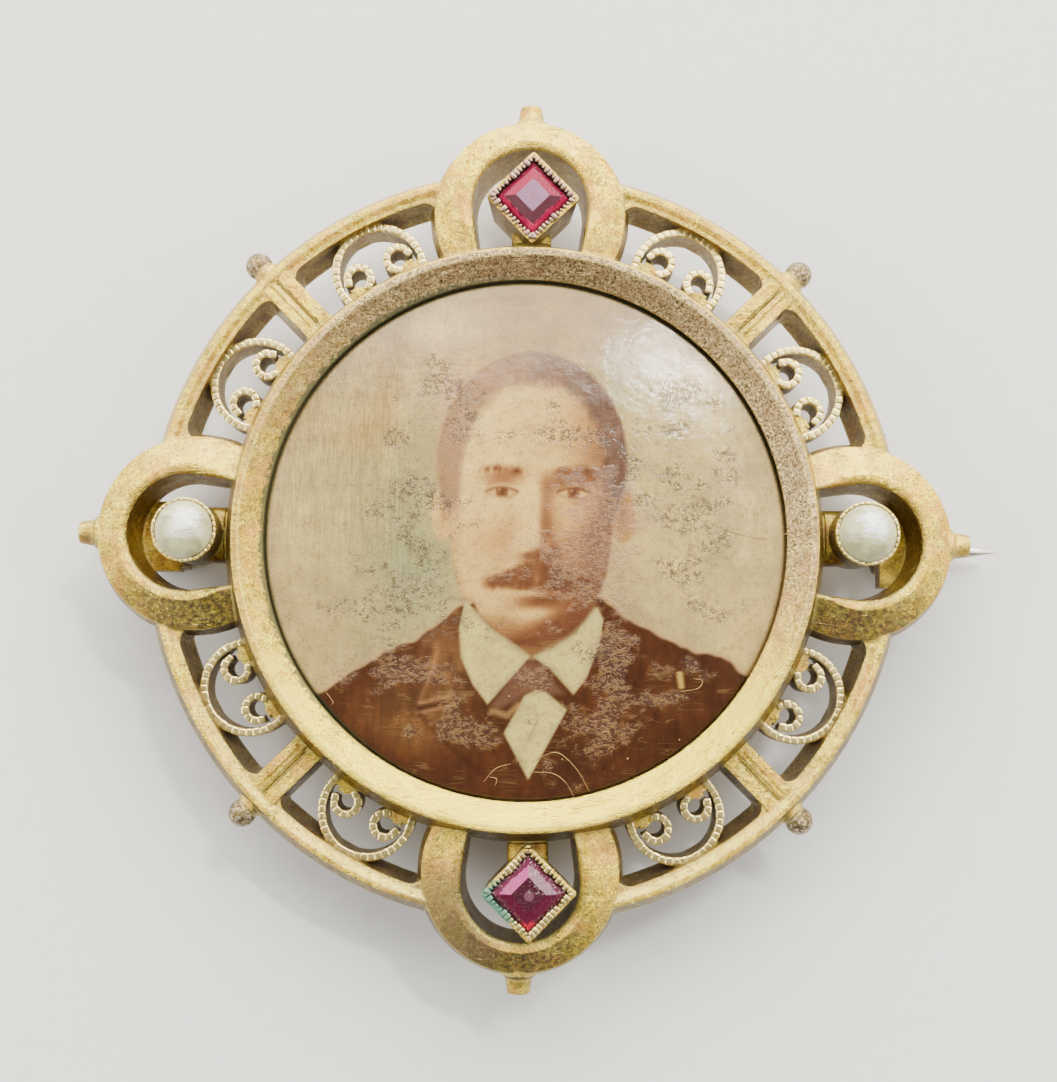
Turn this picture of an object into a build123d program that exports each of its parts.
"""Round portrait brooch: an openwork frame, a domed portrait, two stones, two pearls and a pin.

Millimetres, +Z up.  The brooch lies face up on the feet of its hinge and catch, so z = 0 is the
plane it rests on, x = y = 0 is the axis of the portrait, and +Y is the top of the portrait.
"""
from build123d import *

import os

# Portrait, bezel and back plate
bezel_width = 1.88          # from the clear opening to the outside of the collar
bezel_rise = 0.85           # ridge of the bezel above its lip
lip_reach = 0.45            # how far the lip covers the edge of the portrait
lip_height = 0.4
portrait_rise = 1.3         # dome of the portrait, edge to middle
portrait_edge = 0.7         # thickness of the portrait at its edge
back_plate_height = 0.5
play = 0.06                 # air between two pieces

# Openwork
rim_diameter = 35.6         # across the round rim
rim_width = 0.95            # top of the rim, inside edge to outside edge
rim_depth = 2.4             # back of the frame to the crest of the rim
openwork_width = 2.85       # from the rim in to the collar of the bezel
lobe_diameter = 9.5         # one horseshoe lobe, measured outside
lobe_beyond_rim = 2.3       # how far a lobe stands out past the rim
lobe_band = 1.7             # width of the lobe's band at its tip
lobe_above_rim = 0.65       # lobes stand prouder than the rim
draft = 4.5                 # degrees, slope of the cast walls
strut_width = 1.46          # across both reeds
scroll_angle = 29.2         # degrees from the middle of a lobe to the middle of a scroll
finial_diameter = 1.28
knob_length = 0.75
knob_diameter = 1.75

# Settings and what they hold
setting_height = 6.6        # top of every setting above the resting plane
stone_setting_side = 3.1
stone_side = 2.5
stone_crown = 0.5           # table above the girdle
stone_pavilion = 1.1        # keel below the girdle
pearl_setting_diameter = 2.96
pearl_diameter = 2.58
pearl_crown = 1.1           # top of the pearl above its widest part
stone_stem = 1.9            # width of the web that carries a square setting
pearl_stem = 2.6            # and of the web that carries a round one

# Pin, hinge and catch
pin_space = 2.7             # resting plane to the back of the frame
pin_diameter = 0.84
pin_overhang = 2.35         # how far the point passes the knob beside it
hinge_width = 2.9
catch_width = 1.5
catch_foot_width = 3.9

# Levels above the resting plane
back_z = pin_space
rim_crest_z = back_z + rim_depth
belly_z = back_z + rim_depth * 0.62         # where rim and lobes are widest
scroll_top_z = back_z + rim_depth * 0.71
lobe_crest_z = rim_crest_z + lobe_above_rim
lip_z = lobe_crest_z - 0.15
ridge_z = lip_z + bezel_rise
girdle_z = setting_height - stone_crown * 0.3
web_top_z = rim_crest_z - rim_depth * 0.12
pearl_seat = pearl_diameter * 0.32
disc_top_z = lip_z - lip_height - play
pin_z = pin_diameter * 1.35

# Distances from the axis of the portrait
rim_r = rim_diameter / 2
rim_inner_r = rim_r - rim_width
collar_r = rim_inner_r - openwork_width
opening_r = collar_r - bezel_width
seat_r = opening_r + lip_reach
plate_r = seat_r + lip_reach * 0.67
corner_r = openwork_width * 0.175           # in the corners of the openings
lobe_r = lobe_diameter / 2
lobe_tip = rim_r + lobe_beyond_rim
lobe_middle = lobe_tip - lobe_r
arch_r = lobe_r * 0.565
arch_middle = lobe_tip - lobe_band - arch_r
scroll_r = openwork_width * 0.8
scroll_strip = scroll_r * 0.158             # thickness of the flat strip of a scroll
scroll_middle = rim_inner_r - scroll_r
eyelet_r = scroll_r * 0.32
eyelet_side = scroll_r * 0.46
pin_r = pin_diameter / 2
hinge_x = -lobe_tip + lobe_r * 0.55
catch_x = lobe_tip - lobe_r * 0.46
point_x = lobe_tip + knob_length + pin_overhang

# The four settings: the direction of each from the axis, in degrees from +X, what it holds,
# and how far its middle stands outside the middle of its lobe, as a share of the lobe's radius
settings = {
    "pearl_east": dict(direction=1.1, holds="pearl", outward=0.055),
    "stone_north": dict(direction=89.6, holds="stone", outward=0.085),
    "pearl_west": dict(direction=180.0, holds="pearl", outward=0.04),
    "stone_south": dict(direction=271.3, holds="stone", outward=0.15),
}
reach_of = {name: lobe_middle + lobe_r * setting["outward"] for name, setting in settings.items()}



def square(side, height):
    """Sketch a square standing on its point at one height."""
    with BuildSketch(Plane.XY.offset(height)) as outline:
        Rectangle(side, side, rotation=45)
    return outline.sketch


# The round rim, open where the lobes stand
with BuildPart() as rim:
    wall_lean = rim_width * 0.42
    with BuildSketch(Plane.XZ) as rim_section:
        with BuildLine():
            Polyline(
                (rim_inner_r - wall_lean, back_z),
                (rim_r - wall_lean * 0.7, back_z),
                (rim_r, belly_z),
                (rim_r - rim_width * 0.42, rim_crest_z),
                (rim_r - rim_width * 0.68, rim_crest_z),
                (rim_inner_r, rim_crest_z - rim_width * 0.2),
                close=True,
            )
        make_face()
        fillet(rim_section.vertices().filter_by(lambda v: v.Z > back_z + 0.1), rim_width * 0.15)
    revolve(axis=Axis.Z)
    with PolarLocations(lobe_middle, 4):
        Cylinder((lobe_r + arch_r) / 2, 6 * rim_depth, mode=Mode.SUBTRACT)

# One horseshoe lobe, on +X: a low cone cut through by an arched opening
with BuildPart() as lobe:
    shoulder = lobe_r * 0.95
    slope = lobe_above_rim / (shoulder - arch_r)
    with BuildSketch(Plane.XZ) as lobe_section:
        with BuildLine():
            Polyline(
                (lobe_middle, back_z),
                (lobe_middle + lobe_r * 0.935, back_z),
                (lobe_middle + lobe_r, belly_z),
                (lobe_middle + shoulder, rim_crest_z),
                (lobe_middle, rim_crest_z + shoulder * slope),
                close=True,
            )
        make_face()
        outer_corners = lobe_section.vertices().filter_by(
            lambda v: v.X > lobe_middle + arch_r and v.Z > back_z + rim_depth * 0.1)
        fillet(outer_corners, lobe_r * 0.07)
    revolve(axis=Axis((lobe_middle, 0, 0), (0, 0, 1)))
    with BuildSketch(Plane.XY.offset(back_z - rim_depth * 0.2)):
        arch_low = arch_r * 0.94
        with Locations((arch_middle, 0)):
            Circle(arch_low)
        with BuildLine():
            Polyline(
                (arch_middle - arch_low * 0.13, arch_low * 0.991),
                (collar_r * 0.9, arch_low * 0.84),
                (collar_r * 0.9, -arch_low * 0.84),
                (arch_middle - arch_low * 0.13, -arch_low * 0.991),
                close=True,
            )
        make_face()
    extrude(amount=rim_depth * 2, taper=-draft * 0.7, mode=Mode.SUBTRACT)
    Cylinder(collar_r - bezel_width * 0.3, 6 * rim_depth, mode=Mode.SUBTRACT)
    crest = lobe.edges().filter_by(
        lambda e: (e @ 0.5).Z > rim_crest_z and collar_r - bezel_width * 0.25 < (e @ 0.5).X
        and (e @ 0.5).X < arch_middle + arch_r * 1.2 and abs((e @ 0.5).Y) < arch_r * 1.05)
    fillet(crest, lobe_above_rim * 0.2)

# One strut, on +X: a tapering bar whose top is two rounded reeds with a groove between them
with BuildPart() as strut:
    strut_in = collar_r - bezel_width * 0.3
    strut_top = rim_crest_z - rim_width * 0.12
    groove = strut_width * 0.08
    with BuildSketch(Plane.YZ.offset(strut_in)) as strut_section:
        with BuildLine():
            Polyline(
                (-strut_width * 0.64, back_z),
                (strut_width * 0.64, back_z),
                (strut_width * 0.51, strut_top),
                (groove, strut_top),
                (0, strut_top - 2 * groove),
                (-groove, strut_top),
                (-strut_width * 0.51, strut_top),
                close=True,
            )
        make_face()
        shoulders = strut_section.vertices().filter_by(
            lambda v: abs(v.Y) > strut_width * 0.4 and v.Z > strut_top - groove)
        fillet(shoulders, strut_width * 0.14)
        edges_of_groove = strut_section.vertices().filter_by(
            lambda v: abs(v.Y) < strut_width * 0.2 and v.Z > strut_top - groove)
        fillet(edges_of_groove, strut_width * 0.1)
    extrude(amount=rim_r - rim_width * 0.55 - strut_in)

# One scroll, on +X: a flat strip on edge, bowed against the rim, its ends curled into eyelets
with BuildPart() as scroll:
    with BuildSketch(Plane.XY.offset(back_z)):
        with Locations((scroll_middle, 0)):
            Circle(scroll_r)
            Circle(scroll_r - scroll_strip, mode=Mode.SUBTRACT)
        eyelet_places = [(collar_r + eyelet_r * 0.96, side * eyelet_side) for side in (-1, 1)]
        with Locations(*eyelet_places):
            Circle(eyelet_r)
        with Locations(*[(collar_r, side * (eyelet_side + eyelet_r * 0.75)) for side in (-1, 1)]):
            Rectangle(scroll_strip * 1.3, eyelet_r * 1.5)
        with Locations(*eyelet_places):
            Circle(eyelet_r - scroll_strip * 0.95, mode=Mode.SUBTRACT)
        for side in (-1, 1):
            with Locations((collar_r + eyelet_r * 0.76, side * (eyelet_side + eyelet_r * 0.85))):
                Rectangle(eyelet_r * 0.44, eyelet_r * 0.8, mode=Mode.SUBTRACT)
        with Locations((collar_r - scroll_r, 0)):
            Rectangle(2 * scroll_r - bezel_width * 0.3, 3 * scroll_r, mode=Mode.SUBTRACT)
    extrude(amount=scroll_top_z - back_z)

# The bezel: collar, lip over the disc, sloping face and ridge
with BuildPart() as bezel:
    with BuildSketch(Plane.XZ) as bezel_section:
        with BuildLine():
            Polyline(
                (plate_r, back_z),
                (collar_r, back_z),
                (collar_r, belly_z + rim_depth * 0.2),
                (collar_r - bezel_width * 0.3, ridge_z),
                (collar_r - bezel_width * 0.46, ridge_z),
                (opening_r, lip_z),
                (opening_r, lip_z - lip_height),
                (seat_r, lip_z - lip_height),
                (seat_r, back_z + back_plate_height + play),
                (plate_r, back_z + back_plate_height + play),
                close=True,
            )
        make_face()
        ridge_corners = bezel_section.vertices().filter_by(lambda v: v.Z > ridge_z - 0.01)
        fillet(ridge_corners, bezel_width * 0.07)
        lip_corners = bezel_section.vertices().filter_by(lambda v: abs(v.Z - lip_z) < 0.01)
        fillet(lip_corners, lip_height * 0.3)
    revolve(axis=Axis.Z)

# One ball finial on its flared neck, on +X
with BuildPart() as finial:
    ball_r = finial_diameter / 2
    with BuildSketch(Plane.XZ):
        with BuildLine():
            Polyline(
                (rim_r - rim_width * 0.4, belly_z),
                (rim_r + ball_r * 0.6, belly_z),
                (rim_r + ball_r * 0.3, belly_z + ball_r * 0.72),
                (rim_r - rim_width * 0.05, belly_z + ball_r * 1.05),
                (rim_r - rim_width * 0.4, belly_z + ball_r * 1.05),
                close=True,
            )
        make_face()
    revolve(axis=Axis((0, 0, belly_z), (1, 0, 0)))
    with Locations((rim_r + ball_r * 0.68, 0, belly_z)):
        Sphere(ball_r)

# One knob at the tip of a lobe, on +X
with BuildPart() as knob:
    knob_r = knob_diameter / 2
    knob_z = rim_crest_z - knob_r * 0.95
    with BuildSketch(Plane.XZ) as knob_section:
        with BuildLine():
            Polyline(
                (lobe_tip - lobe_band * 0.3, knob_z),
                (lobe_tip + knob_length, knob_z),
                (lobe_tip + knob_length, knob_z + knob_r * 0.58),
                (lobe_tip + knob_length * 0.12, knob_z + knob_r * 0.72),
                (lobe_tip - knob_length * 0.2, knob_z + knob_r),
                (lobe_tip - lobe_band * 0.3, knob_z + knob_r),
                close=True,
            )
        make_face()
        fillet(knob_section.vertices().filter_by(
            lambda v: v.X > lobe_tip + knob_length * 0.9 and v.Z > knob_z + 0.1), knob_r * 0.45)
    revolve(axis=Axis((0, 0, knob_z), (1, 0, 0)))

# Hinge at the left: a foot soldered under the lobe, two lugs and the rivet between them
with BuildPart() as hinge:
    lug_r = pin_z * 1.03
    lug_gap = pin_diameter * 1.5
    foot_top = back_z + rim_depth * 0.12
    with Locations((hinge_x - lug_r * 0.33, 0, (foot_top + pin_z + lug_r * 0.8) / 2)):
        Box(lug_r * 2.45, hinge_width * 1.15, foot_top - pin_z - lug_r * 0.8)
    with Locations((hinge_x, 0, pin_z)):
        Cylinder(lug_r, hinge_width, rotation=(90, 0, 0))
    with Locations((hinge_x, 0, (pin_z + foot_top) / 2)):
        Box(lug_r * 2, hinge_width, foot_top - pin_z)
    with Locations((hinge_x, 0, pin_z - lug_r * 0.3)):
        Box(lug_r * 3, lug_gap, lug_r * 2.7, mode=Mode.SUBTRACT)
    with Locations((hinge_x, 0, -lug_r)):
        Box(lug_r * 4, hinge_width * 2, lug_r * 2, mode=Mode.SUBTRACT)
    with Locations((hinge_x, 0, pin_z)):
        Cylinder(pin_r * 0.7, hinge_width * 1.1, rotation=(90, 0, 0))

# Catch at the right: a foot soldered under the lobe and a hook that is open to one side
with BuildPart() as catch:
    hook_r = pin_z * 1.03
    with Locations((catch_x + catch_width * 0.35, 0, (foot_top + pin_z + hook_r * 0.8) / 2)):
        Box(catch_width * 1.9, catch_foot_width, foot_top - pin_z - hook_r * 0.8)
    with Locations((catch_x, 0, pin_z)):
        Cylinder(hook_r, catch_width, rotation=(0, 90, 0))
        Cylinder(pin_r + play * 2.5, catch_width * 2, rotation=(0, 90, 0), mode=Mode.SUBTRACT)
    with Locations((catch_x, hook_r, pin_z + hook_r * 0.15)):
        Box(catch_width * 2, hook_r * 2, hook_r * 0.9, mode=Mode.SUBTRACT)
    with Locations((catch_x, 0, -hook_r)):
        Box(catch_width * 2, hook_r * 4, hook_r * 2, mode=Mode.SUBTRACT)

# The two kinds of setting cup, each about its own axis
cup_floor = back_z + rim_depth * 0.08
with BuildPart() as stone_cup:
    add(square(stone_setting_side * 0.88, cup_floor))
    add(square(stone_setting_side, setting_height))
    loft()
    fillet(stone_cup.edges().filter_by(lambda e: abs((e @ 0).Z - (e @ 1).Z) > rim_depth), stone_side * 0.06)
    add(square(stone_side * 0.6, girdle_z - stone_pavilion * 1.3))
    add(square(stone_side * 1.05 + 2 * play, setting_height + stone_crown * 0.02))
    loft(mode=Mode.SUBTRACT)

with BuildPart() as pearl_cup:
    with BuildSketch(Plane.XY.offset(cup_floor)):
        Circle(pearl_setting_diameter * 0.47)
    with BuildSketch(Plane.XY.offset(setting_height)):
        Circle(pearl_setting_diameter * 0.5)
    loft()
    with Locations((0, 0, setting_height)):
        Cylinder(pearl_diameter / 2 + play, 2 * pearl_seat, mode=Mode.SUBTRACT)

# The webs between the settings and the collar, each ending under the middle of its cup
web_length = lobe_middle - collar_r + bezel_width * 0.4
with BuildPart() as stone_web:
    with BuildSketch(Plane.YZ.offset(-web_length)) as stone_web_section:
        with Locations((0, (cup_floor + web_top_z) / 2)):
            Rectangle(stone_stem, web_top_z - cup_floor)
        fillet(stone_web_section.vertices().group_by(Axis.Z)[-1], stone_stem * 0.22)
    extrude(amount=web_length)

with BuildPart() as pearl_web:
    with BuildSketch(Plane.YZ.offset(-web_length)) as pearl_web_section:
        with Locations((0, (cup_floor + web_top_z) / 2)):
            Rectangle(pearl_stem, web_top_z - cup_floor)
        fillet(pearl_web_section.vertices().group_by(Axis.Z)[-1], pearl_stem * 0.25)
    extrude(amount=web_length)

# Rounded corners of the openwork: a plate whose eight openings keep clear of everything else
with BuildPart() as corners:
    corner_top = rim_crest_z - rim_width * 0.21
    with BuildSketch(Plane.XY.offset(back_z)):
        Circle(rim_inner_r)
        Circle(collar_r - bezel_width * 0.2, mode=Mode.SUBTRACT)
        with PolarLocations(lobe_middle, 4):
            Circle((lobe_r + arch_r) / 2, mode=Mode.SUBTRACT)
    extrude(amount=corner_top - back_z)
    with BuildSketch(Plane.XY.offset(back_z)) as openings:
        Circle(rim_inner_r - wall_lean * 0.75)
        Circle(collar_r - bezel_width * 0.03, mode=Mode.SUBTRACT)
        with PolarLocations(lobe_middle, 4):
            Circle(lobe_r * 0.95, mode=Mode.SUBTRACT)
        with PolarLocations((collar_r + rim_inner_r) / 2, 4, start_angle=45):
            Rectangle(rim_r - collar_r, strut_width * 1.1, mode=Mode.SUBTRACT)
        fillet(openings.vertices(), corner_r)
    extrude(amount=corner_top - back_z, taper=-draft, mode=Mode.SUBTRACT)

# Everything soldered together
with BuildPart() as frame:
    add(rim.part)
    add(corners.part)
    with PolarLocations(0, 4):
        add(lobe.part)
        add(knob.part)
    with PolarLocations(0, 4, start_angle=45):
        add(strut.part)
        add(finial.part)
    for turn in (-scroll_angle, scroll_angle):
        with PolarLocations(0, 4, start_angle=turn):
            add(scroll.part)
    for name, setting in settings.items():
        with PolarLocations(reach_of[name], 1, start_angle=setting["direction"]):
            if setting["holds"] == "stone":
                add(stone_web.part)
                add(stone_cup.part)
            else:
                add(pearl_web.part)
                add(pearl_cup.part)
    add(bezel.part)
    add(hinge.part)
    add(catch.part)

# The domed portrait, its edge held under the lip
with BuildPart() as portrait_disc:
    dome_r = opening_r - play * 1.5
    dome_foot = disc_top_z + lip_height * 0.4
    with BuildSketch(Plane.XZ):
        with BuildLine():
            Polyline(
                (dome_r, dome_foot),
                (dome_r, disc_top_z),
                (seat_r - play, disc_top_z),
                (seat_r - play, disc_top_z - portrait_edge),
                (0, disc_top_z - portrait_edge),
                (0, dome_foot + portrait_rise),
            )
            dome_sphere = (dome_r**2 + portrait_rise**2) / (2 * portrait_rise)
            RadiusArc((0, dome_foot + portrait_rise), (dome_r, dome_foot), dome_sphere)
        make_face()
    revolve(axis=Axis.Z)

# The plain plate that closes the back of the collar
with BuildPart() as back_plate:
    with Locations((0, 0, back_z + back_plate_height / 2)):
        Cylinder(plate_r - play, back_plate_height)
    fillet(back_plate.edges().group_by(Axis.Z)[0], back_plate_height * 0.3)

# A square step-cut stone about its own axis: table, two steps of crown, girdle, two of pavilion
stone_steps = [
    dict(side=0.12, height=girdle_z - stone_pavilion),
    dict(side=0.66, height=girdle_z - stone_pavilion * 0.55),
    dict(side=1.0, height=girdle_z),
    dict(side=0.78, height=girdle_z + stone_crown * 0.55),
    dict(side=0.44, height=girdle_z + stone_crown),
]
with BuildPart() as cut_stone:
    for lower, upper in zip(stone_steps, stone_steps[1:]):
        add(square(stone_side * lower["side"], lower["height"]))
        add(square(stone_side * upper["side"], upper["height"]))
        loft(ruled=True)

# A half pearl about its own axis
with BuildPart() as half_pearl:
    pearl_r = pearl_diameter / 2
    pearl_floor = setting_height - pearl_seat + play
    pearl_waist = setting_height - pearl_seat * 0.3
    pearl_ball = (pearl_r**2 + pearl_crown**2) / (2 * pearl_crown)
    with BuildSketch(Plane.XZ):
        with BuildLine():
            Line((0, pearl_floor), (pearl_r * 0.86, pearl_floor))
            ThreePointArc((pearl_r * 0.86, pearl_floor), (pearl_r * 0.965, (pearl_floor + pearl_waist) / 2),
                          (pearl_r, pearl_waist))
            RadiusArc((pearl_r, pearl_waist), (0, pearl_waist + pearl_crown), -pearl_ball)
            Line((0, pearl_waist + pearl_crown), (0, pearl_floor))
        make_face()
    revolve(axis=Axis.Z)

# The pin with its eye, one plain piece
with BuildPart() as pin:
    with Locations((hinge_x, 0, pin_z)):
        Cylinder(pin_r * 1.9, lug_gap - 2 * play, rotation=(90, 0, 0))
    with BuildSketch(Plane.XZ):
        with BuildLine():
            taper_x = point_x - pin_diameter * 4
            Polyline((taper_x, pin_z + pin_r), (hinge_x, pin_z + pin_r), (hinge_x, pin_z), (point_x, pin_z),
                     (point_x, pin_z + pin_r * 0.08))
            ThreePointArc((point_x, pin_z + pin_r * 0.08),
                          ((point_x + taper_x) / 2, pin_z + pin_r * 0.78), (taper_x, pin_z + pin_r))
        make_face()
    revolve(axis=Axis((0, 0, pin_z), (1, 0, 0)))
    with Locations((hinge_x, 0, pin_z)):
        Cylinder(pin_r * 0.7 + play, hinge_width, rotation=(90, 0, 0), mode=Mode.SUBTRACT)

with BuildPart() as stone_north:
    with PolarLocations(reach_of["stone_north"], 1, start_angle=settings["stone_north"]["direction"]):
        add(cut_stone.part)

with BuildPart() as stone_south:
    with PolarLocations(reach_of["stone_south"], 1, start_angle=settings["stone_south"]["direction"]):
        add(cut_stone.part)

with BuildPart() as pearl_east:
    with PolarLocations(reach_of["pearl_east"], 1, start_angle=settings["pearl_east"]["direction"]):
        add(half_pearl.part)

with BuildPart() as pearl_west:
    with PolarLocations(reach_of["pearl_west"], 1, start_angle=settings["pearl_west"]["direction"]):
        add(half_pearl.part)

frame.part.label = "frame"
portrait_disc.part.label = "portrait_disc"
back_plate.part.label = "back_plate"
stone_north.part.label = "stone_north"
stone_south.part.label = "stone_south"
pearl_east.part.label = "pearl_east"
pearl_west.part.label = "pearl_west"
pin.part.label = "pin"

os.makedirs("parts", exist_ok=True)
export_step(frame.part, "parts/frame.step")
export_step(portrait_disc.part, "parts/portrait_disc.step")
export_step(back_plate.part, "parts/back_plate.step")
export_step(stone_north.part, "parts/stone_north.step")
export_step(stone_south.part, "parts/stone_south.step")
export_step(pearl_east.part, "parts/pearl_east.step")
export_step(pearl_west.part, "parts/pearl_west.step")
export_step(pin.part, "parts/pin.step")
